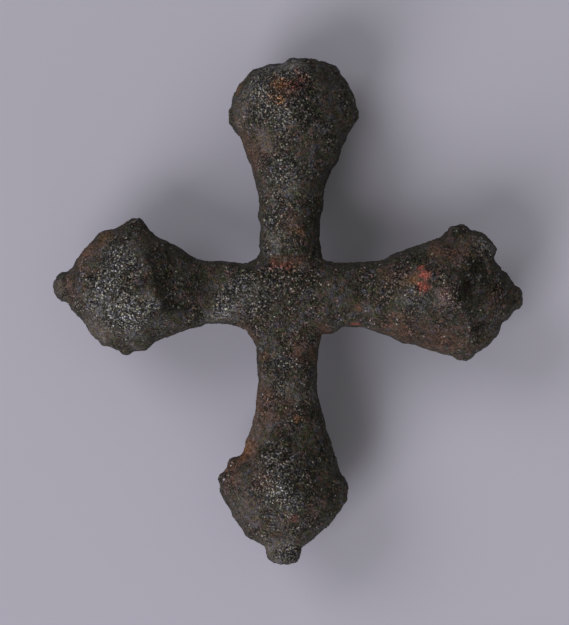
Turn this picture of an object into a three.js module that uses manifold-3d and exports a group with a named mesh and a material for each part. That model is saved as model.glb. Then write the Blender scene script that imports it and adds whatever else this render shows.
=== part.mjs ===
// Small iron cross: two knobbed bars, halved into each other and brazed at the crossing.
// Each arm leaves the crossing as a plain bar and flares into a knob. The knob has four girdle corners, each
// with a nub, and beyond them a cone that ends in a pellet. On the upper arm only the pellet's stump is left.
// Millimetres. +X runs along the crossbar, +Y up the upright, +Z out of the front. The cross lies on its back
// on Z = 0, on four worn nubs.
import * as THREE from 'three';
import { mergeVertices } from 'three/addons/utils/BufferGeometryUtils.js';
import Module from 'manifold-3d';

// Sections, as exponents: 2 is round, above 2 a soft square, below 2 a soft diamond
const barSquareness = 3;
const girdleSquareness = 1.35;
const tipSquareness = 2;

// Reach of each arm, from the crossing to the end of its pellet
const leftReach = 23.7;
const rightReach = 23.4;
const upperReach = 23.7;
const lowerReach = 27.2;

// Bars at the crossing: half-widths, and how far the crossbar's axis lies in front of the upright's
const crossbarHalf = 3.15;
const uprightHalf = 3.0;
const lapStep = 0.5;

// Resting plane under the bars' mean axis, the nubs' bell, and the flats worn on the back nubs
const restHeight = 6.3;
const nubFoot = 1.9;
const nubCrown = 0.8;
const nubHeight = 1.7;
const flatRadius = 1.0;

// Brazed halving joint: filler between the halves, clearance on each side of it, fillets in the corners,
// and where the filler's crown is flat, as a share of the bars' half-height
const filmThickness = 0.3;
const seatGap = 0.1;
const upperRightFillet = 1.3;
const upperLeftFillet = 1.3;
const lowerLeftFillet = 2.7;
const lowerRightFillet = 2.3;
const crownShare = 0.98;

// Arms. at: distance from the crossing. out: distance from the arm's axis. rise: how far a nub stands up.
// beyond: how far a pellet stands past the cone's end. aside: how far it sits off the arm's axis.
// A flare or cone power of 1 is straight; a flare above 1 hollows, a cone above 1 swells. A corner with a
// power of its own follows that one.
const leftArm = {
  reach: leftReach,
  neckAt: 8.3,
  neckHalf: 3.1,
  flarePower: 1.4,
  conePower: 1.8,
  upper: { at: 15.5, out: 6.6, rise: 0.8, flarePower: 1.05, conePower: 2.4 },
  lower: { at: 16.2, out: 6.3, rise: 0.2, flarePower: 0.95 },
  front: { at: 13.7, out: 6.0, rise: 0.4 },
  back: { at: 14.8, out: 5.9 },
  tipHalf: 1.2,
  pellet: { radius: 1.55, beyond: 1.3, aside: 0.2 },
};
const rightArm = {
  reach: rightReach,
  neckAt: 7.5,
  neckHalf: 3.2,
  flarePower: 1.05,
  conePower: 1.8,
  upper: { at: 17.1, out: 6.8, rise: 0.5, conePower: 2.7 },
  lower: { at: 17.2, out: 6.2, rise: 0.2, flarePower: 0.9, conePower: 2.1 },
  front: { at: 15.7, out: 5.8, rise: 0.6 },
  back: { at: 16.2, out: 5.9 },
  tipHalf: 1.1,
  pellet: { radius: 1.35, beyond: 0.8, aside: 0 },
};
const upperArm = {
  reach: upperReach,
  neckAt: 7,
  neckHalf: 2.95,
  flarePower: 1.5,
  conePower: 2.5,
  left: { at: 17.7, out: 6.3, rise: 0.4, flarePower: 1.7, conePower: 3 },
  right: { at: 18.1, out: 6.5, rise: 0.3, flarePower: 1.4, conePower: 2.2 },
  front: { at: 17.4, out: 5.9, rise: 0.3 },
  back: { at: 17.6, out: 5.8 },
  tipHalf: 2.5,
  pellet: { radius: 1.2, beyond: 0.4, aside: -0.8 },
};
const lowerArm = {
  reach: lowerReach,
  neckAt: 9.5,
  neckHalf: 2.95,
  flarePower: 1.7,
  conePower: 1.65,
  left: { at: 18.6, out: 6.5, rise: 0.3, flarePower: 2.1, conePower: 2.3 },
  right: { at: 19.8, out: 6.3, rise: 0.2, flarePower: 1.15 },
  front: { at: 19.0, out: 5.9, rise: 0.4 },
  back: { at: 19.0, out: 5.8 },
  tipHalf: 1.4,
  pellet: { radius: 1.85, beyond: 1.5, aside: 0.1 },
};

// Pits eaten into the right knob's cone, cut by balls: high is the ball's centre above the arm's axis
const browPit = { at: 17.9, aside: 1.2, high: 6.5, radius: 2.2 };
const cheekPit = { at: 19.2, aside: -3.4, high: 5.0, radius: 1.8 };

// Facets
const seatRings = 2;
const neckRings = 1;
const flareRings = 8;
const coneRings = 9;
const barFacets = 32;
const nubFacets = 12;
const nubSteps = 4;
const ballFacets = 14;
const ballRings = 8;
const brazeFacets = 80;
const brazeRings = 10;

const crossbar = {
  half: crossbarHalf,
  sides: ['upper', 'lower'],
  ahead: rightArm,
  behind: leftArm,
  level: lapStep / 2,
  heading: 0,
};
const upright = {
  half: uprightHalf,
  sides: ['left', 'right'],
  ahead: upperArm,
  behind: lowerArm,
  level: -lapStep / 2,
  heading: Math.PI / 2,
};

const crossing = new THREE.Vector3((leftReach - rightReach) / 2, (lowerReach - upperReach) / 2, restHeight);
const fillerReach = Math.max(crossbarHalf, uprightHalf)
  + Math.max(upperRightFillet, upperLeftFillet, lowerLeftFillet, lowerRightFillet);
const workSpan = 4 * Math.max(leftReach, rightReach, upperReach, lowerReach);

const wasm = await Module();
wasm.setup();

// Closed three.js geometry to a solid that can be joined and cut
function toSolid(geometry) {
  const bare = geometry.clone();
  bare.deleteAttribute('normal');
  bare.deleteAttribute('uv');
  const merged = mergeVertices(bare, 1e-5);
  const vertProperties = new Float32Array(merged.attributes.position.array);
  const triVerts = new Uint32Array(merged.index.array);
  return new wasm.Manifold(new wasm.Mesh({ numProp: 3, vertProperties, triVerts }));
}

// Solid back to a three.js geometry
function toGeometry(solid) {
  const { vertProperties, triVerts } = solid.getMesh();
  const geometry = new THREE.BufferGeometry();
  geometry.setAttribute('position', new THREE.BufferAttribute(new Float32Array(vertProperties), 3));
  geometry.setIndex(new THREE.BufferAttribute(new Uint32Array(triVerts), 1));
  geometry.computeVertexNormals();
  return geometry;
}

// Distance of a section's outline from its centre, in the direction cos, sin
function sectionRadius(cos, sin, across, depth, squareness) {
  const side = Math.abs(cos / across) ** squareness;
  const face = Math.abs(sin / depth) ** squareness;
  return (side + face) ** (-1 / squareness);
}

// An arm's stretches are counted by stage: 0 to 1 is the seat under the filler, 1 to 2 the plain bar out to
// the neck, 2 to 3 the flare and 3 to 4 the cone
function cornerReach(arm, corner, barHalf, stage) {
  if (stage <= 1) return barHalf;
  if (stage <= 2) return THREE.MathUtils.lerp(barHalf, arm.neckHalf, stage - 1);
  const { flarePower = arm.flarePower, conePower = arm.conePower } = corner;
  if (stage <= 3) return arm.neckHalf + (corner.out - arm.neckHalf) * (stage - 2) ** flarePower;
  return arm.tipHalf + (corner.out - arm.tipHalf) * (1 - (stage - 3) ** conePower);
}

function distanceAlong(arm, girdleAt, stage) {
  if (stage <= 1) return fillerReach * stage;
  if (stage <= 2) return THREE.MathUtils.lerp(fillerReach, arm.neckAt, stage - 1);
  if (stage <= 3) return THREE.MathUtils.lerp(arm.neckAt, girdleAt, stage - 2);
  return THREE.MathUtils.lerp(girdleAt, arm.reach - arm.pellet.beyond, stage - 3);
}

function squarenessAt(stage) {
  if (stage <= 2) return barSquareness;
  if (stage <= 3) return THREE.MathUtils.lerp(barSquareness, girdleSquareness, stage - 2);
  return THREE.MathUtils.lerp(girdleSquareness, tipSquareness, stage - 3);
}

// Stage of a ring, counted out from the crossing
function stageOfRing(ring) {
  let rest = ring;
  for (const [stage, rings] of [seatRings, neckRings, flareRings].entries()) {
    if (rest <= rings) return stage + rest / rings;
    rest -= rings;
  }
  return 3 + rest / coneRings;
}

// Whole bar, both arms and knobs lofted in one, grown outwards by an offset.
// The girdle isn't flat: it runs from corner to corner, wherever each stands along the arm.
// The cone leans towards its pellet.
function loftBar(bar, offset) {
  const ringsPerArm = seatRings + neckRings + flareRings + coneRings;
  const geometry = new THREE.CylinderGeometry(1, 1, 2 * ringsPerArm, barFacets, 2 * ringsPerArm);
  const position = geometry.attributes.position;
  for (let i = 0; i < position.count; i += 1) {
    const ring = Math.round(position.getY(i));
    const arm = ring >= 0 ? bar.ahead : bar.behind;
    const stage = stageOfRing(Math.abs(ring));
    const cos = position.getZ(i);
    const sin = position.getX(i);
    const side = arm[bar.sides[cos >= 0 ? 0 : 1]];
    const face = sin >= 0 ? arm.front : arm.back;
    const spread = Math.hypot(cos, sin);
    const girdleAt = spread > 0 ? (side.at * cos ** 2 + face.at * sin ** 2) / spread ** 2 : side.at;
    const across = cornerReach(arm, side, bar.half, stage) + offset;
    const depth = cornerReach(arm, face, bar.half, stage) + offset;
    const radius = spread > 0 ? sectionRadius(cos, sin, across, depth, squarenessAt(stage)) : 0;
    const along = Math.sign(ring) * distanceAlong(arm, girdleAt, stage);
    const lean = arm.pellet.aside * Math.max(0, stage - 3) ** 2;
    position.setXYZ(i, along, lean + radius * cos, bar.level + radius * sin);
  }
  return toSolid(geometry);
}

function ball(radius, along, across, height) {
  const geometry = new THREE.SphereGeometry(radius, ballFacets, ballRings);
  geometry.translate(along, across, height);
  return toSolid(geometry);
}

// Nub: a small bell with a round crown and a hollow flank, its crown at the origin and pointing along +Y
function nubGeometry() {
  const flank = new THREE.CubicBezierCurve(
    new THREE.Vector2(nubFoot, -nubHeight),
    new THREE.Vector2(nubCrown, -nubHeight / 2),
    new THREE.Vector2(nubCrown, 0),
    new THREE.Vector2(0, 0),
  );
  const profile = [new THREE.Vector2(0, -nubHeight), ...flank.getPoints(nubSteps)];
  return new THREE.LatheGeometry(profile, nubFacets);
}

// Back nub: worn down to a flat on the resting plane
function wornNub(along) {
  const geometry = new THREE.CylinderGeometry(flatRadius, nubFoot, nubHeight, nubFacets);
  geometry.rotateX(-Math.PI / 2);
  geometry.translate(along, 0, nubHeight / 2 - restHeight);
  return toSolid(geometry);
}

// Nubs on the four girdle corners and the pellet at the tip
function armTrim(bar, arm) {
  const way = arm === bar.ahead ? 1 : -1;
  const sideNubs = bar.sides.map((name, index) => {
    const { at, out, rise } = arm[name];
    const geometry = nubGeometry();
    geometry.translate(0, out + rise, 0);
    geometry.rotateX(index * Math.PI);
    geometry.translate(way * at, 0, bar.level);
    return toSolid(geometry);
  });
  const frontNub = nubGeometry();
  frontNub.rotateX(Math.PI / 2);
  frontNub.translate(way * arm.front.at, 0, bar.level + arm.front.out + arm.front.rise);
  const { pellet } = arm;
  return [
    ...sideNubs,
    toSolid(frontNub),
    wornNub(way * arm.back.at),
    ball(pellet.radius, way * (arm.reach - pellet.radius), pellet.aside, bar.level),
  ];
}

// Everything below a height, as a block
function blockBelow(height) {
  const geometry = new THREE.BoxGeometry(workSpan, workSpan, workSpan);
  geometry.translate(0, 0, height - workSpan / 2);
  return toSolid(geometry);
}

const turned = (solid, bar) => solid.rotate([0, 0, THREE.MathUtils.radToDeg(bar.heading)]);

// The part of the crossing that a bar gives up to the other one, for both pieces and the filler's bed:
// the crossbar loses its back half, the upright its front half
function halved(bar, other, offset) {
  const clearance = filmThickness + 2 * seatGap - offset;
  const midCut = filmThickness / 2 + seatGap - offset;
  const passing = turned(loftBar(other, clearance), other);
  const notch = bar === crossbar
    ? passing.intersect(blockBelow(midCut))
    : passing.subtract(blockBelow(-midCut));
  return turned(loftBar(bar, offset), bar).subtract(notch);
}

function finishedBar(bar, other) {
  let solid = halved(bar, other, 0);
  for (const arm of [bar.ahead, bar.behind]) {
    for (const trim of armTrim(bar, arm)) solid = solid.add(turned(trim, bar));
  }
  if (bar.ahead === rightArm) {
    for (const pit of [browPit, cheekPit]) {
      const cut = ball(pit.radius, pit.at, pit.aside, bar.level + pit.high);
      solid = solid.subtract(turned(cut, bar));
    }
  }
  return solid;
}

// Outline of the filler at one level: a plus as wide as the bars there, with round inner corners and its
// ends inside the bars
function fillerRadius(cos, sin, acrossHalf, alongHalf, fillet) {
  const centreX = acrossHalf + fillet;
  const centreY = alongHalf + fillet;
  const c = Math.abs(cos);
  const s = Math.abs(sin);
  if (s * fillerReach <= c * alongHalf) return fillerReach / c;
  if (c * fillerReach <= s * acrossHalf) return fillerReach / s;
  if (s * centreX <= c * alongHalf) return alongHalf / s;
  if (c * centreY <= s * acrossHalf) return acrossHalf / c;
  const toCentre = c * centreX + s * centreY;
  return toCentre - Math.sqrt(toCentre ** 2 - centreX ** 2 - centreY ** 2 + fillet ** 2);
}

function filletAt(cos, sin) {
  if (sin >= 0) return cos >= 0 ? upperRightFillet : upperLeftFillet;
  return cos >= 0 ? lowerRightFillet : lowerLeftFillet;
}

// Filler: its faces follow the bars' rounded sections level by level, and both bars' beds are cut from it
function brazeSolid() {
  const geometry = new THREE.CylinderGeometry(1, 1, brazeRings, brazeFacets, brazeRings);
  const position = geometry.attributes.position;
  const topHeight = Math.min(crossbarHalf, uprightHalf) - lapStep / 2;
  for (let i = 0; i < position.count; i += 1) {
    const lift = crownShare * Math.sin((position.getY(i) / brazeRings) * Math.PI);
    const cos = position.getZ(i);
    const sin = position.getX(i);
    const narrowing = (1 - Math.abs(lift) ** barSquareness) ** (1 / barSquareness);
    const onAxis = Math.hypot(cos, sin) < 0.5;
    const radius = onAxis
      ? 0
      : fillerRadius(cos, sin, uprightHalf * narrowing, crossbarHalf * narrowing, filletAt(cos, sin));
    position.setXYZ(i, radius * cos, radius * sin, topHeight * lift);
  }
  return toSolid(geometry)
    .subtract(halved(crossbar, upright, seatGap))
    .subtract(halved(upright, crossbar, seatGap));
}

function piece(name, solid, material) {
  const mesh = new THREE.Mesh(toGeometry(solid), material);
  mesh.name = name;
  return mesh;
}

const crossbarIron = new THREE.MeshStandardMaterial({ color: 0x403a35, roughness: 0.8, metalness: 0.3 });
const uprightIron = new THREE.MeshStandardMaterial({ color: 0x3d3934, roughness: 0.8, metalness: 0.3 });
const fillerBrass = new THREE.MeshStandardMaterial({ color: 0x5a4234, roughness: 0.85, metalness: 0.3 });

const cross = new THREE.Group();
cross.name = 'cross';
cross.position.copy(crossing);
cross.add(
  piece('crossbar', finishedBar(crossbar, upright), crossbarIron),
  piece('upright', finishedBar(upright, crossbar), uprightIron),
  piece('braze', brazeSolid(), fillerBrass),
);

export default cross;
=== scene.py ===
import math

import bmesh
import bpy
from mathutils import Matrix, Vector, noise
from mathutils.bvhtree import BVHTree


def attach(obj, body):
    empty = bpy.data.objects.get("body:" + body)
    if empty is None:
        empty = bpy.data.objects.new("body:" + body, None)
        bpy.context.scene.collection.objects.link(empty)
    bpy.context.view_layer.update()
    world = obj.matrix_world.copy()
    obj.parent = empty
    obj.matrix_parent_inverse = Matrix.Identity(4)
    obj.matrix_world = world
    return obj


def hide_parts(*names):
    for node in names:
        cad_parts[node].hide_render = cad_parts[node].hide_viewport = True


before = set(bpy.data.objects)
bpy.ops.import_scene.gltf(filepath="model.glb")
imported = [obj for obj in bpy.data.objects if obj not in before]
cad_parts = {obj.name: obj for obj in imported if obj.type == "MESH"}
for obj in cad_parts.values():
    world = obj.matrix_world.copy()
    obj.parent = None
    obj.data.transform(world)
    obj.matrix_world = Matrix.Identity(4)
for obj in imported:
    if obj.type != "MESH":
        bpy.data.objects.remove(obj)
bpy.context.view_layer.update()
mm = 0.001
barAxis = 6.3                    # mm above the floor, the bars' mean axis
crossing = Vector((0.15, 1.75, barAxis))
noise.seed_set(4)                # the grains drift the same way in every run
print("frame loaded")


# Camera: straight above the cross, turned so that the cross leans as it does in the photograph

shot = {
    "imageHeight": 625,
    "pixelsPerMm": 10.0,
    "aim": (-0.25, -0.15),       # mm in the frame, at the middle of the picture
    "height": 360.0,             # mm above the bars' axis
    "lean": 1.15,                # degrees
    "clip": (0.01, 10.0),        # metres
}


def makeCamera(settings):
    data = bpy.data.cameras.new("photoCamera")
    camera = bpy.data.objects.new("photoCamera", data)
    bpy.context.scene.collection.objects.link(camera)
    seen = settings["imageHeight"] / settings["pixelsPerMm"]        # mm along the long side
    data.lens = data.sensor_width * settings["height"] / seen
    data.clip_start, data.clip_end = settings["clip"]
    x, y = settings["aim"]
    camera.location = Vector((x, y, barAxis + settings["height"])) * mm
    camera.rotation_euler = (0.0, 0.0, math.radians(settings["lean"]))
    bpy.context.scene.camera = camera


# Studio: pale paper floor, two wide soft windows on the left, a weak low one on the right, a dim room

studio = {
    "floorSize": 3000.0,         # mm
    "floorColour": (0.368, 0.358, 0.427),
    "floorRoughness": 0.95,
    "floorGloss": 0.2,
    "windowDistance": 2500.0,    # mm
    "windows": {
        # direction round the cross and height above the floor in degrees, sides in mm, power in watts
        "leftWindow": {"round": 148.0, "above": 38.0, "sides": (1620.0, 1150.0), "power": 28.5},
        "nearWindow": {"round": 231.0, "above": 34.0, "sides": (1340.0, 2020.0), "power": 58.0},
        "rightWindow": {"round": 311.0, "above": 12.0, "sides": (1800.0, 520.0), "power": 12.0},
    },
    "windowColour": (1.0, 0.985, 1.0),
    "roomColour": (1.0, 1.0, 0.90),
    "roomStrength": 0.30,
    "backdropStrength": 0.42,    # what the camera and mirroring surfaces see of the room
}


def makeFloor(settings):
    bm = bmesh.new()
    half = settings["floorSize"] * mm / 2
    bmesh.ops.create_grid(bm, x_segments=1, y_segments=1, size=half)
    mesh = bpy.data.meshes.new("floor")
    bm.to_mesh(mesh)
    bm.free()
    floor = bpy.data.objects.new("floor", mesh)
    bpy.context.scene.collection.objects.link(floor)
    material = bpy.data.materials.new("palePaper")
    material.use_nodes = True
    shader = material.node_tree.nodes["Principled BSDF"]
    shader.inputs["Base Color"].default_value = (*settings["floorColour"], 1.0)
    shader.inputs["Roughness"].default_value = settings["floorRoughness"]
    shader.inputs["Specular IOR Level"].default_value = settings["floorGloss"]
    floor.data.materials.append(material)


def makeWindows(settings):
    for name, window in settings["windows"].items():
        data = bpy.data.lights.new(name, "AREA")
        data.shape = "RECTANGLE"
        data.size, data.size_y = [side * mm for side in window["sides"]]
        data.energy = window["power"]
        data.color = settings["windowColour"]
        lamp = bpy.data.objects.new(name, data)
        bpy.context.scene.collection.objects.link(lamp)
        turn, rise = math.radians(window["round"]), math.radians(window["above"])
        flat = math.cos(rise)
        direction = Vector((math.cos(turn) * flat, math.sin(turn) * flat, math.sin(rise)))
        lamp.location = direction * settings["windowDistance"] * mm
        lamp.rotation_euler = direction.to_track_quat("Z", "Y").to_euler()


def makeRoom(settings):
    world = bpy.data.worlds.new("studioRoom")
    world.use_nodes = True
    bpy.context.scene.world = world
    tree = world.node_tree
    tree.nodes.clear()
    output = tree.nodes.new("ShaderNodeOutputWorld")
    lit = {}
    for name in ("room", "backdrop"):
        lit[name] = tree.nodes.new("ShaderNodeBackground")
        lit[name].inputs["Color"].default_value = (*settings["roomColour"], 1.0)
        lit[name].inputs["Strength"].default_value = settings[name + "Strength"]
    rays = tree.nodes.new("ShaderNodeLightPath")
    seen = rays.outputs["Is Camera Ray"]
    for name in ("Is Glossy Ray", "Is Transmission Ray"):
        either = tree.nodes.new("ShaderNodeMath")
        either.operation = "MAXIMUM"
        tree.links.new(seen, either.inputs[0])
        tree.links.new(rays.outputs[name], either.inputs[1])
        seen = either.outputs[0]
    choice = tree.nodes.new("ShaderNodeMixShader")
    tree.links.new(seen, choice.inputs["Fac"])
    tree.links.new(lit["room"].outputs[0], choice.inputs[1])
    tree.links.new(lit["backdrop"].outputs[0], choice.inputs[2])
    tree.links.new(choice.outputs[0], output.inputs["Surface"])


makeCamera(shot)
makeFloor(studio)
makeWindows(studio)
makeRoom(studio)
print("camera and studio made")


# Crust: every piece is remeshed fine enough to carry the rust's lumps and grains as real relief

crust = {
    "weld": 0.001,               # mm, as the other lengths here
    "voxel": 0.142,
    "smoothing": 3,
    # waves of relief: size and height, and what share of the height the flanks and the back keep
    "waves": {
        "swell": {"size": 5.5, "height": 0.20, "side": 0.7},
        "lumps": {"size": 2.0, "height": 0.16, "side": 0.5},
        "scabs": {"size": 0.9, "height": 0.10, "side": 0.8},
    },
    # a shift keeps one layer of noise from lying on another
    "flakes": {"size": 1.5, "height": 0.11, "edge": 0.08, "side": 0.7, "shift": (3, 9, 4)},
    "pits": {"size": 1.3, "depth": 0.5, "above": 0.33, "shift": (7, 7, 7)},
    "grains": {"size": 0.31, "height": 0.15, "middle": 0.45, "driftSize": 0.9, "drift": 0.25, "side": 0.5},
    "sink": 0.03,                # how far the whole crust lies inside the part's surface
    "frontFrom": 0.25,           # how far a face looks up before it counts as the worn, grainy front
    "frontFull": 0.80,
    "seatHalf": (2.6, 2.6, 2.1), # the halving's hidden seats stay true inside this box
    "seatFade": 0.8,
}
ridgeShape = {
    "power": 1.5,                # above 1, the slopes beside a ridge are hollow
    "ends": 0.3,                 # share of a ridge's length over which it dies out at each end
    "upFrom": 0.2,               # ridges stand only on faces that look up
    "upFull": 0.5,
}
overhead = 20.0                  # mm, above every piece

# marks on the crust: three kinds of rust, pale places that are partly rubbed and partly painted light,
# even brown ones that also carry painted light, painted shade on flanks and in hollows, grainy places
tints = ("rust", "ochre", "hot", "worn", "plain", "paintedShade", "grit")
raggedEdge = {"size": 1.1, "amount": 0.6, "shift": (5, 1, 8)}      # how a mark's edge wanders


def copyNodes(name, nodes):
    bm = bmesh.new()
    for node in nodes:
        bm.from_mesh(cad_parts[node].data)
    bmesh.ops.remove_doubles(bm, verts=bm.verts, dist=crust["weld"] * mm)
    mesh = bpy.data.meshes.new(name)
    bm.to_mesh(mesh)
    bm.free()
    piece = bpy.data.objects.new(name, mesh)
    bpy.context.scene.collection.objects.link(piece)
    return piece


def applyModifiers(piece):
    depsgraph = bpy.context.evaluated_depsgraph_get()
    finished = bpy.data.meshes.new_from_object(piece.evaluated_get(depsgraph))
    finished.name = piece.name
    piece.modifiers.clear()
    piece.data = finished


def refine(piece, voxel, smoothing, swelling=0.0):
    if swelling:
        grow = piece.modifiers.new("grow", "DISPLACE")
        grow.strength = swelling * mm
        grow.mid_level = 0.0
    remesh = piece.modifiers.new("fineSkin", "REMESH")
    remesh.mode = "VOXEL"
    remesh.voxel_size = voxel * mm
    smooth = piece.modifiers.new("softSkin", "SMOOTH")
    smooth.factor = 0.5
    smooth.iterations = smoothing
    applyModifiers(piece)


def fade(distance, reach):
    if distance >= reach:
        return 0.0
    return (1.0 - (distance / reach) ** 2) ** 2


def step(value, low, high):
    t = min(1.0, max(0.0, (value - low) / (high - low)))
    return t * t * (3.0 - 2.0 * t)


def between(low, high, share):
    return low + (high - low) * share


def cloudAt(place, size, octaves, softness=1.0, spacing=2.0, shift=(0, 0, 0)):
    return noise.fractal(place / size + Vector(shift), softness, spacing, octaves)


def placeOf(tree, at):
    # two numbers name a place on the front, three a place anywhere
    if len(at) == 3:
        return Vector(at)
    above = Vector((*at, overhead)) * mm
    hit = tree.ray_cast(above, Vector((0, 0, -1)))[0]
    return (hit or tree.find_nearest(above)[0]) / mm


def outsideSeats(place, settings):
    offset = place - crossing
    nearest = max(abs(offset[i]) - settings["seatHalf"][i] for i in range(3))
    return min(1.0, max(0.0, nearest / settings["seatFade"]))


def pushForms(piece, pushes):
    tree = BVHTree.FromObject(piece, bpy.context.evaluated_depsgraph_get())
    placed = [(placeOf(tree, push["at"]), push["reach"], Vector(push["move"])) for push in pushes]
    for vert in piece.data.vertices:
        place = vert.co / mm
        for at, reach, move in placed:
            weight = fade((place - at).length, reach)
            if weight:
                vert.co += move * weight * mm


def pushOutline(piece, pushes):
    # whole columns of the surface move in the plane of the cross
    placed = [(Vector(push["at"]), push["reach"], Vector((*push["move"], 0.0))) for push in pushes]
    for vert in piece.data.vertices:
        place = vert.co.xy / mm
        for at, reach, move in placed:
            weight = fade((place - at).length, reach)
            if weight:
                vert.co += move * weight * mm


def heightOfRidge(place, ridge):
    # a crease along a line: sharp on it, as wide to each side as the ridge says, dying out at its ends
    line = [Vector(point) for point in ridge["line"]]
    best = math.inf
    for index in range(len(line) - 1):
        start, end = line[index], line[index + 1]
        along = end - start
        share = min(1.0, max(0.0, (place - start).dot(along) / along.length_squared))
        offset = place - (start + along * share)
        if offset.length < best:
            best = offset.length
            nearest = (index + share) / (len(line) - 1)
            side = "left" if along.x * offset.y - along.y * offset.x > 0 else "right"
    if best >= ridge[side]:
        return 0.0
    slope = (1.0 - best / ridge[side]) ** ridgeShape["power"]
    return ridge["height"] * slope * step(min(nearest, 1.0 - nearest), 0.0, ridgeShape["ends"])


def raiseRidges(piece, ridges):
    normals = [vert.normal.z for vert in piece.data.vertices]
    for vert, upward in zip(piece.data.vertices, normals):
        if upward > ridgeShape["upFrom"]:
            place = vert.co.xy / mm
            height = sum(heightOfRidge(place, ridge) for ridge in ridges)
            vert.co.z += height * step(upward, ridgeShape["upFrom"], ridgeShape["upFull"]) * mm


def reliefAt(place, front, settings):
    height = -settings["sink"]
    for wave in settings["waves"].values():
        lump = cloudAt(place, wave["size"], octaves=2, spacing=2.1)
        height += lump * wave["height"] * between(wave["side"], 1.0, front)
    flakes = settings["flakes"]
    flake = cloudAt(place, flakes["size"], octaves=3, shift=flakes["shift"])
    plateau = step(flake, 0.0, flakes["edge"]) - 0.5
    height += plateau * flakes["height"] * between(flakes["side"], 1.0, front)
    pits = settings["pits"]
    hollow = noise.noise(place / pits["size"] + Vector(pits["shift"]))
    height -= max(0.0, hollow - pits["above"]) * pits["depth"] * front
    grains = settings["grains"]
    drift = noise.noise_vector(place / grains["driftSize"]) * grains["drift"]
    pebble = 1.0 - min(1.0, noise.voronoi(place / grains["size"] + drift)[0][0])
    height += (pebble - grains["middle"]) * grains["height"] * between(grains["side"], 1.0, front)
    return height, pebble


def sculpt(piece, settings):
    bm = bmesh.new()
    bm.from_mesh(piece.data)
    bm.normal_update()
    layers = {name: bm.verts.layers.float.new(name) for name in ("grain", "front")}
    moves = []
    for vert in bm.verts:
        place = vert.co / mm
        front = step(vert.normal.z, settings["frontFrom"], settings["frontFull"])
        height, pebble = reliefAt(place, front, settings)
        vert[layers["grain"]] = pebble
        vert[layers["front"]] = front
        moves.append(vert.normal * (height * outsideSeats(place, settings) * mm))
    for vert, move in zip(bm.verts, moves):
        vert.co += move
        vert.co.z = max(vert.co.z, 0.0)
    bm.to_mesh(piece.data)
    bm.free()
    piece.data.shade_smooth()


def stain(piece, spots):
    tree = BVHTree.FromObject(piece, bpy.context.evaluated_depsgraph_get())
    placed = [(tint, placeOf(tree, spot["at"]), spot) for tint in spots for spot in spots[tint]]
    bm = bmesh.new()
    bm.from_mesh(piece.data)
    layers = {tint: bm.verts.layers.float.new(tint) for tint in tints}
    for vert in bm.verts:
        place = vert.co / mm
        wander = cloudAt(place, raggedEdge["size"], octaves=3, shift=raggedEdge["shift"])
        ragged = 1.0 + raggedEdge["amount"] * wander
        for tint, at, spot in placed:
            weight = fade((place - at).length * ragged, spot["reach"])
            if weight:
                layer = layers[tint]
                vert[layer] = max(vert[layer], weight * spot["strength"])
    bm.to_mesh(piece.data)
    bm.free()


# Crust material

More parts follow.
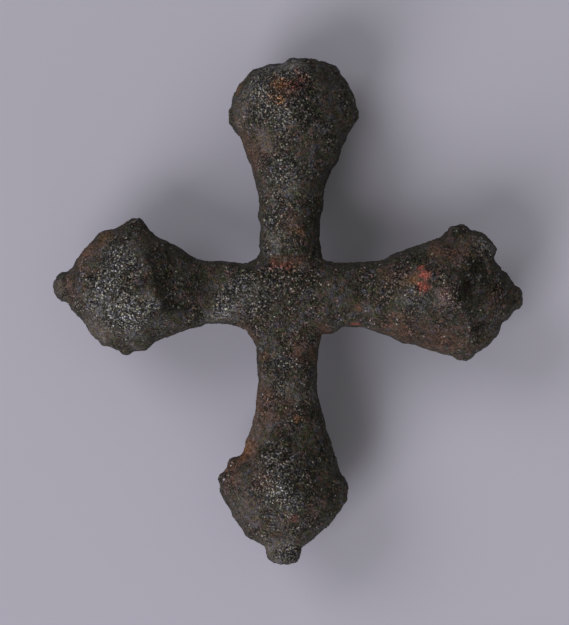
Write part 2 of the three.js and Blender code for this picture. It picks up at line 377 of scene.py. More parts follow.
rustedIron = {
    # black of painted shade, in the gaps between grains and under the painted shade marks
    "shadeBlack": (0.0028, 0.0028, 0.0020),
    "darkCrust": (0.0235, 0.0228, 0.0168),
    "brownCrust": (0.0450, 0.0378, 0.0285),
    "flank": (0.0292, 0.0275, 0.0228),
    # pale colour of rubbed places, partly painted light on faces turned to the lamps
    "wornCrust": (0.1320, 0.1285, 0.1240),
    # even brown, lighter than the crust, partly painted light on faces turned to the lamps
    "plainCrust": (0.0820, 0.0700, 0.0640),
    # pale grain colour, partly a painted glint
    "paleGrainGlint": (0.33, 0.315, 0.28),
    "yellowTint": (1.05, 1.00, 0.78),
    "lilacTint": (0.98, 0.99, 1.22),
    # patches of another colour: sizes in mm, and the height of the noise at which each begins
    "patches": {
        "olive": {"size": 0.80, "from": 0.47, "colour": (0.0345, 0.0380, 0.0205)},
        "grey": {"size": 0.92, "from": 0.48, "colour": (0.0500, 0.0480, 0.0530)},
        "red": {"size": 0.56, "from": 0.505, "colour": (0.0660, 0.0400, 0.0350)},
    },
    "patchEdge": 0.12,
    "patchCover": 0.85,
    # clouds of rust inside the marks of the same name
    "rusts": {
        "rust": {"size": 0.7, "colour": (0.096, 0.049, 0.036)},
        "ochre": {"size": 0.4, "colour": (0.165, 0.072, 0.026)},
        "hot": {"size": 0.4, "colour": (0.31, 0.078, 0.058)},
    },
    "cloudSize": 2.6,            # mm, as the sizes below
    "wornSize": 0.8,
    "tintSize": 0.4,
    "gritSize": 2.2,
    "mottleSize": 0.9,
    "pebbleSize": 0.21,
    "grainSize": 0.16,
    "fineSize": 0.18,
    "fineRoughness": 0.7,
    # ramps: two values of what goes in, and what each of them becomes
    "clouds": (0.35, 0.65, 0.0, 1.0),
    "flankCover": (0.0, 1.0, 0.7, 0.0),
    "wornPatches": (0.34, 0.52, 0.64, 1.0),
    "hues": (0.35, 0.65, 0.0, 1.0),
    "rustClouds": (0.30, 0.58, 0.0, 1.0),
    "gritClouds": (0.40, 0.60, 0.10, 0.80),
    "gritOnFront": (0.0, 1.0, 0.3, 1.0),
    "seamShade": (0.15, 0.60, 1.80, 0.30),
    "fineTones": (0.3, 0.7, 0.20, 1.80),
    "fineOnGrit": (0.0, 1.0, 0.4, 1.0),
    "mottles": (0.3, 0.7, 0.90, 1.10),
    "gapsBelow": (0.25, 0.50, 1.0, 0.0),
    "gapsOnGrit": (0.0, 1.0, 0.15, 0.55),
    "tipsAbove": (0.35, 0.70, 0.0, 1.0),
    "tipTones": (0.0, 1.0, 0.3, 1.0),
    "roughness": (0.0, 1.0, 0.75, 0.35),
    "gloss": (0.0, 1.0, 0.15, 0.5),
    # grit that rubbed places, partly painted light, gain, and that even brown and painted-shade places
    # lose
    "wornGrit": 0.6,
    "plainSmooth": 0.8,
    "paintedShadeSmooth": 0.4,
    # brightness of single grains: chance, to a power where it is loud, times the spread, plus the base
    "quietSpread": 0.9,
    "quietBase": 0.55,
    "loudPower": 1.5,
    "loudSpread": 2.2,
    "loudBase": 0.12,
    "tipShare": 0.08,
    "paintedShadeCover": 0.6,
    "bumpDistance": 0.09,        # mm
}


def addNode(tree, kind, **values):
    node = tree.nodes.new(kind)
    for name, value in values.items():
        setattr(node, name, value)
    return node


def mixColour(tree, factor, first, second, blend="MIX"):
    node = addNode(tree, "ShaderNodeMix", data_type="RGBA", blend_type=blend)
    for socket, value in ((0, factor), (6, first), (7, second)):
        if isinstance(value, tuple):
            node.inputs[socket].default_value = (*value, 1.0)
        elif isinstance(value, float):
            node.inputs[socket].default_value = value
        else:
            tree.links.new(value, node.inputs[socket])
    return node.outputs[2]


def calculate(tree, operation, *terms, clamp=False):
    node = addNode(tree, "ShaderNodeMath", operation=operation, use_clamp=clamp)
    for index, term in enumerate(terms):
        if isinstance(term, float):
            node.inputs[index].default_value = term
        else:
            tree.links.new(term, node.inputs[index])
    return node.outputs[0]


def noiseAt(tree, coordinates, size, detail=3.0, roughness=0.5):
    node = addNode(tree, "ShaderNodeTexNoise")
    node.inputs["Scale"].default_value = 1.0 / (size * mm)
    node.inputs["Detail"].default_value = detail
    node.inputs["Roughness"].default_value = roughness
    tree.links.new(coordinates, node.inputs["Vector"])
    return node.outputs["Fac"]


def grainCells(tree, coordinates, size):
    # three random numbers for each little cell, and the distance from its middle
    cells = addNode(tree, "ShaderNodeTexVoronoi")
    cells.inputs["Scale"].default_value = 1.0 / (size * mm)
    tree.links.new(coordinates, cells.inputs["Vector"])
    numbers = addNode(tree, "ShaderNodeSeparateColor")
    tree.links.new(cells.outputs["Color"], numbers.inputs[0])
    return numbers.outputs, cells.outputs["Distance"]


def ramp(tree, factor, ends):
    node = addNode(tree, "ShaderNodeMapRange", interpolation_type="SMOOTHSTEP")
    for name, value in zip(("From Min", "From Max", "To Min", "To Max"), ends):
        node.inputs[name].default_value = value
    tree.links.new(factor, node.inputs["Value"])
    return node.outputs["Result"]


def attribute(tree, name):
    return addNode(tree, "ShaderNodeAttribute", attribute_name=name).outputs["Fac"]


def grey(tree, value):
    node = addNode(tree, "ShaderNodeCombineColor")
    for channel in range(3):
        tree.links.new(value, node.inputs[channel])
    return node.outputs[0]


def crustColour(tree, coordinates, marks, look):
    # dark and brown clouds, olive, purple-grey and reddish patches, and a smoother brown on the flanks
    clouds = ramp(tree, noiseAt(tree, coordinates, look["cloudSize"]), look["clouds"])
    colour = mixColour(tree, clouds, look["darkCrust"], look["brownCrust"])
    for patch in look["patches"].values():
        ends = (patch["from"], patch["from"] + look["patchEdge"], 0.0, look["patchCover"])
        cover = ramp(tree, noiseAt(tree, coordinates, patch["size"]), ends)
        colour = mixColour(tree, cover, colour, patch["colour"])
    return mixColour(tree, ramp(tree, marks["front"], look["flankCover"]), colour, look["flank"])


def rubbedAndLitColour(tree, coordinates, colour, marks, look):
    # rubbed places are pale in ragged patches, partly real wear and partly painted light on faces turned
    # to the lamps, plain ones an even brown that also carries painted light, and everywhere the hue drifts
    patches = ramp(tree, noiseAt(tree, coordinates, look["wornSize"]), look["wornPatches"])
    rubbedAndLit = calculate(tree, "MULTIPLY", marks["worn"], patches)
    colour = mixColour(tree, rubbedAndLit, colour, look["wornCrust"])
    colour = mixColour(tree, marks["plain"], colour, look["plainCrust"])
    hue = ramp(tree, noiseAt(tree, coordinates, look["tintSize"], detail=2.0), look["hues"])
    tint = mixColour(tree, hue, look["yellowTint"], look["lilacTint"])
    return mixColour(tree, 1.0, colour, tint, "MULTIPLY")


def rustColour(tree, coordinates, colour, marks, look):
    for name, rust in look["rusts"].items():
        cloud = ramp(tree, noiseAt(tree, coordinates, rust["size"]), look["rustClouds"])
        amount = calculate(tree, "MULTIPLY", marks[name], cloud, clamp=True)
        colour = mixColour(tree, amount, colour, rust["colour"])
    return colour


def gritAmount(tree, coordinates, marks, look):
    # how grainy a place is: loose clouds and rubbed places that are partly painted light, less where plain
    # or under painted shade, most on the front
    clouds = ramp(tree, noiseAt(tree, coordinates, look["gritSize"]), look["gritClouds"])
    loose = calculate(tree, "ADD", clouds, marks["grit"])
    grit = calculate(tree, "MULTIPLY_ADD", marks["worn"], look["wornGrit"], loose)
    smooth = calculate(tree, "MULTIPLY", marks["plain"], look["plainSmooth"])
    smooth = calculate(tree, "MULTIPLY_ADD", marks["paintedShade"], look["paintedShadeSmooth"], smooth)
    grit = calculate(tree, "SUBTRACT", grit, smooth, clamp=True)
    return calculate(tree, "MULTIPLY", grit, ramp(tree, marks["front"], look["gritOnFront"]))


def grainTone(tree, chance, grit, look):
    # each grain has a brightness of its own, and grains differ more in the grit
    quiet = calculate(tree, "MULTIPLY_ADD", chance, look["quietSpread"], look["quietBase"])
    curved = calculate(tree, "POWER", chance, look["loudPower"])
    loud = calculate(tree, "MULTIPLY_ADD", curved, look["loudSpread"], look["loudBase"])
    return mixColour(tree, grit, grey(tree, quiet), grey(tree, loud))


def paleGlintTips(tree, chance, marks, grit, look):
    # a few grains in the grit are pale where they stand high: partly pale grains, partly painted glints
    share = calculate(tree, "MULTIPLY", grit, look["tipShare"])
    tips = calculate(tree, "LESS_THAN", chance[1], share)
    tips = calculate(tree, "MULTIPLY", tips, ramp(tree, marks["grain"], look["tipsAbove"]))
    return calculate(tree, "MULTIPLY", tips, ramp(tree, chance[2], look["tipTones"]))


def makeIron(name, look):
    material = bpy.data.materials.new(name)
    material.use_nodes = True
    tree = material.node_tree
    shader = tree.nodes["Principled BSDF"]
    coordinates = addNode(tree, "ShaderNodeTexCoord").outputs["Object"]
    marks = {mark: attribute(tree, mark) for mark in ("grain", "front", *tints)}
    grit = gritAmount(tree, coordinates, marks, look)
    fine = noiseAt(tree, coordinates, look["fineSize"], detail=2.0, roughness=look["fineRoughness"])
    chance, fromMiddle = grainCells(tree, coordinates, look["grainSize"])
    tips = paleGlintTips(tree, chance, marks, grit, look)

    colour = crustColour(tree, coordinates, marks, look)
    colour = rubbedAndLitColour(tree, coordinates, colour, marks, look)
    colour = rustColour(tree, coordinates, colour, marks, look)

    # painted shade in the seams between pebbles, the tone of each grain, fine noise and a soft mottle
    seamShade = ramp(tree, grainCells(tree, coordinates, look["pebbleSize"])[1], look["seamShade"])
    colour = mixColour(tree, grit, colour, grey(tree, seamShade), "MULTIPLY")
    colour = mixColour(tree, 1.0, colour, grainTone(tree, chance[0], grit, look), "MULTIPLY")
    fineTone = grey(tree, ramp(tree, fine, look["fineTones"]))
    colour = mixColour(tree, ramp(tree, grit, look["fineOnGrit"]), colour, fineTone, "MULTIPLY")
    mottle = ramp(tree, noiseAt(tree, coordinates, look["mottleSize"], detail=2.0), look["mottles"])
    colour = mixColour(tree, 1.0, colour, grey(tree, mottle), "MULTIPLY")

    # painted shade in the gaps between grains, pale tips that are partly painted glints, and the painted
    # shade marks over all of it
    low = ramp(tree, marks["grain"], look["gapsBelow"])
    gapShade = calculate(tree, "MULTIPLY", low, ramp(tree, grit, look["gapsOnGrit"]))
    colour = mixColour(tree, gapShade, colour, look["shadeBlack"])
    colour = mixColour(tree, tips, colour, look["paleGrainGlint"])
    paintedShadeAmount = calculate(tree, "MULTIPLY", marks["paintedShade"], look["paintedShadeCover"])
    colour = mixColour(tree, paintedShadeAmount, colour, look["shadeBlack"])
    tree.links.new(colour, shader.inputs["Base Color"])
    tree.links.new(ramp(tree, tips, look["roughness"]), shader.inputs["Roughness"])
    tree.links.new(ramp(tree, tips, look["gloss"]), shader.inputs["Specular IOR Level"])

    bump = addNode(tree, "ShaderNodeBump")
    bump.inputs["Distance"].default_value = look["bumpDistance"] * mm
    tree.links.new(calculate(tree, "SUBTRACT", fine, fromMiddle), bump.inputs["Height"])
    tree.links.new(bump.outputs[0], shader.inputs["Normal"])
    return material


crustIron = makeIron("crustIron", rustedIron)
print("crust material made")


def finishPiece(piece, node, look):
    pushOutline(piece, look["outline"])
    sculpt(piece, crust)
    stain(piece, look["spots"])
    piece.data.materials.clear()
    piece.data.materials.append(crustIron)
    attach(piece, "root")
    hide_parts(node)
    print(piece.name, "triangles", sum(len(face.vertices) - 2 for face in piece.data.polygons))


def dressBar(name, node, look):
    bar = copyNodes(name, [node])
    refine(bar, crust["voxel"], crust["smoothing"])
    pushForms(bar, look["pushes"])
    raiseRidges(bar, look["ridges"])
    finishPiece(bar, node, look)


# Crossbar: lengths in mm, places in the frame, and each list of spots runs from left to right

crossbarLook = {
    "pushes": [
        # left knob: hollows above the front nub and beside its foot, and a rise below it
        {"at": (-13.5, 2.8), "reach": 1.3, "move": (0.0, 0.0, -0.35)},
        {"at": (-11.5, 0.9), "reach": 1.5, "move": (0.0, 0.0, -0.35)},
        {"at": (-13.1, 0.7), "reach": 1.6, "move": (0.1, 0.0, 0.3)},
        # right knob: the front nub, a hollow below the tip and two on the nub's left
        {"at": (15.9, 1.7), "reach": 1.9, "move": (0.0, 0.0, 0.15)},
        {"at": (19.6, -1.2), "reach": 2.0, "move": (0.0, 0.0, -0.6)},
        {"at": (14.7, 3.1), "reach": 1.4, "move": (0.0, 0.0, -0.3)},
        {"at": (14.1, 1.9), "reach": 1.4, "move": (0.0, 0.0, -0.25)},
    ],
    "ridges": [
        # left knob: the front faces meet in an edge that runs down past the front nub
        {"line": ((-14.5, 6.8), (-13.9, 4.6), (-13.0, 2.8), (-12.5, 1.5), (-12.6, -0.6), (-14.3, -1.7),
                  (-15.4, -3.8)),
         "height": 0.48, "left": 0.5, "right": 2.2},
        # right knob: steep right side of the front nub, and the valley that sets off the tip
        {"line": ((16.4, 4.4), (17.0, 3.3), (17.3, 1.8), (17.0, 0.0)),
         "height": 0.5, "left": 0.5, "right": 1.6},
        {"line": ((20.7, 5.9), (19.4, 5.3), (18.3, 4.1), (18.0, 2.5), (18.5, 0.3)),
         "height": -0.55, "left": 1.3, "right": 1.4},
    ],
    "outline": [
        # left knob
        {"at": (-21.4, 3.9), "reach": 0.9, "move": (0.25, -0.15)},
        {"at": (-20.9, 5.0), "reach": 1.6, "move": (0.15, -0.1)},
        {"at": (-20.3, -1.4), "reach": 1.5, "move": (0.22, 0.2)},
        {"at": (-18.6, 7.4), "reach": 1.3, "move": (-0.2, 0.25)},
        {"at": (-18.4, -3.8), "reach": 0.8, "move": (-0.15, -0.25)},
        {"at": (-16.6, 8.6), "reach": 0.9, "move": (-0.1, 0.25)},
        {"at": (-14.2, -4.1), "reach": 1.4, "move": (0.0, -0.3)},
        {"at": (-13.6, -3.9), "reach": 1.0, "move": (0.0, -0.2)},
        # left neck and bar
        {"at": (-9.6, 5.3), "reach": 1.8, "move": (0.0, -0.25)},
        {"at": (-8.8, -1.8), "reach": 1.4, "move": (0.0, -0.2)},
        {"at": (-4.6, 4.8), "reach": 1.8, "move": (0.0, -0.18)},
        # right neck
        {"at": (9.2, 5.3), "reach": 1.4, "move": (0.0, -0.2)},
        {"at": (11.5, -2.9), "reach": 1.4, "move": (0.0, -0.2)},
        # right knob, with a notch above the tip
        {"at": (15.8, 8.6), "reach": 1.0, "move": (-0.2, 0.4)},
        {"at": (15.9, 8.4), "reach": 1.4, "move": (-0.12, 0.15)},
        {"at": (18.2, -4.1), "reach": 1.2, "move": (0.1, -0.25)},
        {"at": (21.1, 5.7), "reach": 1.0, "move": (-1.0, -0.3)},
        {"at": (21.5, -0.9), "reach": 0.9, "move": (-0.2, 0.25)},
        {"at": (21.8, 4.9), "reach": 1.1, "move": (-0.6, -0.3)},
        {"at": (22.3, 3.9), "reach": 1.1, "move": (-0.15, -0.1)},
    ],
    "spots": {
        # pale marks: partly rubbed wear, partly painted light on faces turned to the lamps
        "worn": [
            {"at": (-18.5, 0.7), "reach": 2.4, "strength": 0.8},
            {"at": (-18.3, 1.7), "reach": 2.0, "strength": 0.9},
            {"at": (-17.6, 2.1), "reach": 2.6, "strength": 1.0},
            {"at": (-16.6, 5.0), "reach": 3.6, "strength": 0.7},
            {"at": (-16.1, -0.6), "reach": 4.2, "strength": 1.0},
            {"at": (-13.5, 0.2), "reach": 1.6, "strength": 0.9},
            {"at": (-6.5, -0.1, 9.0), "reach": 1.8, "strength": 1.0},
            {"at": (-5.8, 0.2), "reach": 1.5, "strength": 0.8},
            {"at": (-5.5, 1.8), "reach": 2.0, "strength": 0.6},
            {"at": (-4.5, 2.0), "reach": 3.2, "strength": 0.5},
            {"at": (-2.7, 1.8), "reach": 2.4, "strength": 0.4},
            {"at": (12.2, 1.7), "reach": 3.0, "strength": 0.3},
            {"at": (15.6, 2.2), "reach": 2.1, "strength": 1.0},
            {"at": (16.1, 1.6), "reach": 1.7, "strength": 1.0},
            {"at": (19.7, 6.9), "reach": 1.8, "strength": 0.7},
        ],
        # even brown marks: partly smooth crust, partly painted light on faces turned to the lamps
        "plain": [
            {"at": (-22.6, 1.8), "reach": 1.6, "strength": 0.7},
            {"at": (-20.4, 4.5), "reach": 2.4, "strength": 0.5},
            {"at": (-18.8, -2.1), "reach": 2.8, "strength": 0.9},
            {"at": (13.1, 3.8), "reach": 1.6, "strength": 0.6},
            {"at": (15.3, 2.3), "reach": 1.9, "strength": 1.0},
            {"at": (17.0, 6.6), "reach": 2.4, "strength": 0.3},
        ],
        "grit": [
            {"at": (-16.7, 1.3), "reach": 5.0, "strength": 0.5},
            {"at": (0.3, 1.8), "reach": 5.5, "strength": 0.35},
            {"at": (15.4, 2.4), "reach": 4.0, "strength": 0.3},
            {"at": (16.6, 1.7), "reach": 1.5, "strength": 0.9},
        ],
        # painted shade: flanks turned from the lamps and hollows, darkened towards black
        "paintedShade": [
            {"at": (-14.6, 2.0), "reach": 1.2, "strength": 0.6},
            {"at": (-13.8, -2.8), "reach": 2.2, "strength": 0.5},
            {"at": (-12.6, 5.4), "reach": 3.2, "strength": 0.5},
            {"at": (-11.3, 0.3), "reach": 2.4, "strength": 0.8},
            {"at": (-9.7, 2.1), "reach": 3.2, "strength": 0.6},
            {"at": (-8.2, 1.9), "reach": 2.0, "strength": 1.0},
            {"at": (6.5, 2.0), "reach": 3.6, "strength": 0.3},
            {"at": (13.9, -1.7), "reach": 4.4, "strength": 0.5},
            {"at": (17.2, 3.8), "reach": 1.4, "strength": 0.5},
            {"at": (17.4, 1.8), "reach": 1.1, "strength": 0.6},
            {"at": (18.2, 2.9), "reach": 2.2, "strength": 0.5},
            {"at": (18.4, 1.4), "reach": 2.4, "strength": 0.9},
            {"at": (18.9, 4.7), "reach": 2.0, "strength": 0.65},
            {"at": (19.6, -1.3), "reach": 2.2, "strength": 0.6},
            {"at": (20.3, 5.3), "reach": 1.4, "strength": 0.6},
            {"at": (22.8, 1.6), "reach": 1.2, "strength": 0.4},
        ],
        "rust": [
            {"at": (-21.1, 1.7, 8.0), "reach": 1.8, "strength": 0.9},
            {"at": (-20.2, 5.5, 8.0), "reach": 2.6, "strength": 0.8},
            {"at": (10.9, 3.6), "reach": 2.6, "strength": 0.6},
            {"at": (11.5, -1.7), "reach": 3.2, "strength": 0.8},
            {"at": (15.4, -2.6), "reach": 3.8, "strength": 0.8},
            {"at": (16.0, 6.4), "reach": 3.2, "strength": 0.9},
            {"at": (20.5, 1.7), "reach": 1.8, "strength": 0.6},
        ],
        "ochre": [
            {"at": (-18.4, 7.0, 8.0), "reach": 1.4, "strength": 0.5},
            {"at": (7.0, 0.5), "reach": 0.9, "strength": 0.4},
            {"at": (12.5, 3.4), "reach": 0.9, "strength": 1.0},
        ],
        "hot": [
            {"at": (6.9, -1.0, 8.0), "reach": 0.9, "strength": 0.8},
            {"at": (13.2, 4.6), "reach": 0.7, "strength": 1.0},
            {"at": (13.3, 2.8), "reach": 0.8, "strength": 1.0},
            {"at": (13.5, 3.8), "reach": 1.0, "strength": 1.0},
            {"at": (15.7, 2.1), "reach": 2.2, "strength": 0.2},
        ],
    },
}

dressBar("crossbarCrust", "crossbar", crossbarLook)
print("crossbar made")


# Upright: as the crossbar, but each list of spots runs from the top down

uprightLook = {
    "pushes": [
        # upper knob: the broken pellet's stump standing up at the top
        {"at": (0.7, 24.0), "reach": 1.6, "move": (0.0, 0.1, 0.7)},
        # upper neck: right edge of the front worn away
        {"at": (2.5, 11.6), "reach": 2.4, "move": (-0.1, 0.0, -0.55)},
        {"at": (2.6, 8.6), "reach": 2.2, "move": (-0.1, 0.0, -0.60)},
        {"at": (2.6, 6.2), "reach": 1.6, "move": (-0.1, 0.0, -0.45)},
    ],
    "ridges": [
        # upper knob: edge of the upper faces
        {"line": ((-5.5, 19.2), (-2.8, 18.6), (0.0, 18.5), (3.0, 19.0), (5.9, 20.0)),
         "height": 0.2, "left": 1.4, "right": 1.6},
        # lower knob: the two front faces meet in an edge
        {"line": ((-1.6, -12.9), (-1.4, -15.1), (-0.6, -17.1), (0.7, -18.9), (1.8, -20.9)),
         "height": 0.25, "left": 1.6, "right": 1.6},
    ],
    "outline": [
        # stump of the pellet
        {"at": (-0.1, 25.3), "reach": 0.7, "move": (-0.1, 0.3)},
        {"at": (1.6, 25.1), "reach": 1.2, "move": (0.0, 0.15)},
        {"at": (-1.3, 25.0), "reach": 1.3, "move": (0.0, -0.35)},
        {"at": (4.5, 24.6), "reach": 1.1, "move": (0.2, 0.25)},
        # upper knob, with blunt side corners
        {"at": (-4.2, 23.7), "reach": 1.4, "move": (-0.15, 0.2)},
        {"at": (6.3, 21.6), "reach": 1.2, "move": (-0.1, 0.1)},
        {"at": (6.9, 19.8), "reach": 0.9, "move": (-0.1, 0.0)},
        {"at": (-6.5, 19.4), "reach": 0.9, "move": (0.25, 0.0)},
        {"at": (6.2, 18.8), "reach": 0.9, "move": (0.1, -0.1)},
        {"at": (-5.7, 18.1), "reach": 1.0, "move": (-0.2, -0.1)},
        {"at": (5.0, 15.4), "reach": 1.1, "move": (0.22, 0.0)},
        {"at": (4.2, 14.2), "reach": 0.8, "move": (-0.2, 0.0)},
        # upper neck
        {"at": (3.4, 12.6), "reach": 2.4, "move": (-0.35, 0.0)},
        {"at": (-3.2, 9.4), "reach": 1.3, "move": (-0.25, 0.0)},
        # lower knob, with a notch above its left corner and both side corners blunt
        {"at": (-4.1, -14.3), "reach": 1.3, "move": (0.5, -0.1)},
        {"at": (-5.5, -15.0), "reach": 0.9, "move": (-0.35, 0.45)},
        {"at": (-6.0, -16.2), "reach": 0.9, "move": (-0.1, 0.0)},
        {"at": (-6.1, -16.2), "reach": 0.9, "move": (0.2, -0.1)},
        {"at": (6.2, -16.9), "reach": 1.1, "move": (0.35, 0.1)},
        {"at": (-6.2, -17.9), "reach": 1.0, "move": (-0.2, 0.0)},
        {"at": (6.6, -18.4), "reach": 0.7, "move": (-0.1, 0.0)},
        {"at": (6.3, -18.8), "reach": 0.9, "move": (0.25, -0.15)},
        {"at": (-5.4, -19.8), "reach": 1.0, "move": (0.15, 0.05)},
        # lower pellet
        {"at": (-3.6, -22.7), "reach": 1.2, "move": (-0.2, -0.2)},
        {"at": (1.7, -24.4), "reach": 0.7, "move": (-0.25, 0.0)},
        {"at": (1.5, -24.6), "reach": 1.1, "move": (0.2, -0.2)},
    ],
    "spots": {
        # pale marks: partly rubbed wear, partly painted light on faces turned to the lamps
        "worn": [
            {"at": (0.1, 24.3), "reach": 2.4, "strength": 1.0},
            {"at": (-1.3, 24.3), "reach": 1.6, "strength": 0.9},
            {"at": (-2.6, 24.0), "reach": 2.0, "strength": 0.5},
            {"at": (-0.2, 23.9), "reach": 2.6, "strength": 1.0},
            {"at": (-2.9, 21.8), "reach": 3.4, "strength": 0.55},
            {"at": (-0.7, 19.8), "reach": 3.0, "strength": 0.7},
            {"at": (-0.3, 13.1), "reach": 3.0, "strength": 0.4},
            {"at": (-1.6, 8.7), "reach": 2.2, "strength": 0.25},
            {"at": (-1.1, 7.1), "reach": 2.2, "strength": 0.4},
            {"at": (-2.0, 6.6), "reach": 1.4, "strength": 0.4},
            {"at": (-0.2, -5.1), "reach": 1.4, "strength": 0.6},
            {"at": (-0.3, -7.7), "reach": 1.5, "strength": 0.6},
            {"at": (2.6, -8.0), "reach": 1.6, "strength": 0.35},
            {"at": (-1.6, -14.9), "reach": 1.6, "strength": 0.6},
            {"at": (-0.9, -16.3), "reach": 2.1, "strength": 1.0},
            {"at": (-1.1, -16.7), "reach": 3.0, "strength": 0.9},
            {"at": (-0.1, -17.6), "reach": 2.0, "strength": 1.0},
            {"at": (0.8, -19.0), "reach": 1.6, "strength": 0.8},
            {"at": (0.3, -23.8), "reach": 2.2, "strength": 0.7},
        ],
        # even brown marks: partly smooth crust, partly painted light on faces turned to the lamps
        "plain": [
            {"at": (-0.3, 24.2), "reach": 2.0, "strength": 0.25},
            {"at": (-4.8, 20.0), "reach": 2.2, "strength": 0.5},
            {"at": (-2.8, 17.1), "reach": 1.8, "strength": 0.7},
            {"at": (-1.9, -6.9), "reach": 1.8, "strength": 0.5},
            {"at": (-2.8, -11.8, 7.5), "reach": 3.0, "strength": 0.6},
            {"at": (-3.6, -19.8), "reach": 3.2, "strength": 0.45},
            {"at": (0.2, -20.9), "reach": 2.4, "strength": 0.35},
            {"at": (-1.0, -23.6), "reach": 2.2, "strength": 0.45},
        ],
        "grit": [
            {"at": (-0.6, 20.9), "reach": 5.5, "strength": 0.8},
            {"at": (-0.1, -17.1), "reach": 4.0, "strength": 0.6},
        ],
        # painted shade: flanks turned from the lamps and hollows, darkened towards black
        "paintedShade": [
            {"at": (3.2, 15.2, 7.5), "reach": 3.4, "strength": 0.6},
            {"at": (2.5, 13.1, 8.5), "reach": 2.2, "strength": 0.9},
            {"at": (2.2, 13.0), "reach": 2.1, "strength": 1.0},
            {"at": (2.7, 10.2, 8.0), "reach": 2.4, "strength": 0.4},
            {"at": (0.3, 9.2), "reach": 1.4, "strength": 0.4},
            {"at": (2.6, 7.2, 8.0), "reach": 2.0, "strength": 0.5},
            {"at": (-1.4, -3.9), "reach": 2.0, "strength": 0.15},
            {"at": (2.6, -3.9), "reach": 2.2, "strength": 0.55},
            {"at": (0.2, -7.3), "reach": 3.4, "strength": 0.42},
            {"at": (2.8, -11.9, 8.0), "reach": 3.0, "strength": 0.2},
            {"at": (0.6, -12.2), "reach": 1.8, "strength": 0.5},
        ],
        "rust": [
            {"at": (-0.6, 21.9), "reach": 2.6, "strength": 0.9},
            {"at": (-4.0, 15.5, 8.0), "reach": 3.4, "strength": 0.6},
            {"at": (0.0, 8.7), "reach": 1.8, "strength": 0.6},
            {"at": (2.6, -3.1, 8.5), "reach": 2.5, "strength": 0.6},
            {"at": (1.4, -4.2), "reach": 1.8, "strength": 0.8},
            {"at": (-2.6, -9.5, 7.5), "reach": 4.4, "strength": 0.8},
            {"at": (-3.4, -14.0, 7.5), "reach": 2.8, "strength": 1.0},
            {"at": (-4.8, -16.2, 7.0), "reach": 2.8, "strength": 1.0},
            {"at": (-2.0, -16.7), "reach": 2.2, "strength": 0.8},
        ],
        "ochre": [
            {"at": (-1.3, 22.5), "reach": 1.2, "strength": 1.0},
            {"at": (-5.4, 22.2, 7.0), "reach": 1.0, "strength": 0.7},
            {"at": (-1.1, 20.8), "reach": 1.1, "strength": 1.0},
            {"at": (1.1, 8.0), "reach": 0.8, "strength": 0.6},
            {"at": (-2.2, -4.7), "reach": 0.8, "strength": 0.5},
            {"at": (1.3, -10.7), "reach": 0.7, "strength": 0.8},
            {"at": (-3.7, -13.7, 7.0), "reach": 1.8, "strength": 0.7},
        ],
        "hot": [
            {"at": (1.0, 23.0), "reach": 0.8, "strength": 0.5},
            {"at": (0.2, 22.3), "reach": 1.0, "strength": 0.5},
            {"at": (1.1, -20.5), "reach": 0.6, "strength": 0.4},
        ],
    },
}

dressBar("uprightCrust", "upright", uprightLook)
print("upright made")


# Braze: the filler swells over its seams and dies away into the bars' crust

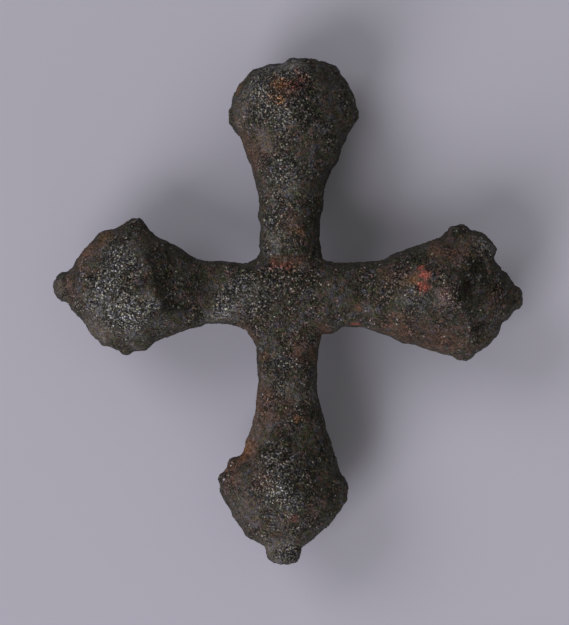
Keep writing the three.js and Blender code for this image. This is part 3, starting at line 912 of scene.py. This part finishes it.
brazeLook = {
    "voxel": 0.12,               # mm, as the other lengths here
    "smoothing": 2,
    "reach": 1.25,               # how far the crust runs on to each side of the filler
    "level": 0.45,               # how far out it stays proud
    "raggedSize": 0.8,
    "ragged": 0.5,               # share by which its rim wanders
    "proud": 0.08,
    "sunk": 0.45,
    "skinSwelling": 0.05,
    "skinVoxel": 0.16,
    "skinSmoothing": 14,
    "skinDepth": 0.9,            # what lies deeper than this under the skin stays as it is
    "pushes": [
        # lower right corner: a spill of filler with a straight lower edge
        {"at": (4.6, -2.0, 6.5), "reach": 1.1, "move": (0.3, -0.4, 0.0)},
    ],
    "outline": [
        # the filler lies tight in the upper corners and ends short below
        {"at": (-3.2, 5.5), "reach": 1.5, "move": (0.2, -0.2)},
        {"at": (3.6, 5.7), "reach": 1.2, "move": (-0.15, -0.1)},
        {"at": (3.4, -2.1), "reach": 0.8, "move": (-0.25, 0.3)},
        {"at": (-4.4, 4.8), "reach": 1.8, "move": (0.0, -0.2)},
    ],
    "spots": {
        # pale mark: partly rubbed wear, partly painted light
        "worn": [
            {"at": (2.8, 5.5), "reach": 1.0, "strength": 0.5},
        ],
        "grit": [
            {"at": (0.3, 1.8), "reach": 5.5, "strength": 0.35},
        ],
        # painted shade: a hollow darkened towards black
        "paintedShade": [
            {"at": (3.0, 6.9), "reach": 1.4, "strength": 0.5},
        ],
        "rust": [
            {"at": (-4.2, -2.0, 7.5), "reach": 2.4, "strength": 0.6},
            {"at": (0.2, 4.9), "reach": 2.8, "strength": 0.8},
            {"at": (3.6, -1.9), "reach": 2.0, "strength": 0.7},
        ],
        "hot": [
            {"at": (-1.3, 4.7), "reach": 0.6, "strength": 0.5},
            {"at": (-0.7, 4.6), "reach": 0.6, "strength": 0.7},
            {"at": (-0.1, 4.5), "reach": 0.6, "strength": 0.6},
        ],
    },
}


def makeJointSkin(settings):
    skin = copyNodes("jointSkin", ["crossbar", "upright", "braze"])
    refine(skin, settings["skinVoxel"], settings["skinSmoothing"], settings["skinSwelling"])
    return skin


def wrapInside(piece, skin):
    wrap = piece.modifiers.new("wrap", "SHRINKWRAP")
    wrap.target = skin
    wrap.wrap_method = "NEAREST_SURFACEPOINT"
    wrap.wrap_mode = "INSIDE"
    applyModifiers(piece)


def settle(piece, skin, filler, settings):
    # the filler's own surface stands a little proud, and its rim dips under the bars' crust
    depsgraph = bpy.context.evaluated_depsgraph_get()
    skinTree = BVHTree.FromObject(skin, depsgraph)
    fillerTree = BVHTree.FromObject(filler, depsgraph)
    for vert in piece.data.vertices:
        away = fillerTree.find_nearest(vert.co)[3] / mm
        wander = noise.noise(vert.co / mm / settings["raggedSize"])
        rim = step(away * (1.0 + settings["ragged"] * wander), settings["level"], settings["reach"])
        lift = between(settings["proud"], -settings["sunk"], rim)
        outward, depth = skinTree.find_nearest(vert.co)[1::2]
        vert.co += outward * (lift * (1.0 - step(depth / mm, 0.0, settings["skinDepth"])) * mm)


def dressBraze(name, node, look):
    skin = makeJointSkin(look)
    filler = copyNodes("filler", [node])
    braze = copyNodes(name, [node])
    refine(braze, look["voxel"], look["smoothing"], look["reach"])
    wrapInside(braze, skin)
    refine(braze, look["voxel"], look["smoothing"])
    settle(braze, skin, filler, look)
    bpy.data.objects.remove(skin)
    bpy.data.objects.remove(filler)
    pushForms(braze, look["pushes"])
    finishPiece(braze, node, look)


dressBraze("brazeCrust", "braze", brazeLook)
print("braze made")


bpy.context.scene.view_settings.view_transform = "Standard"
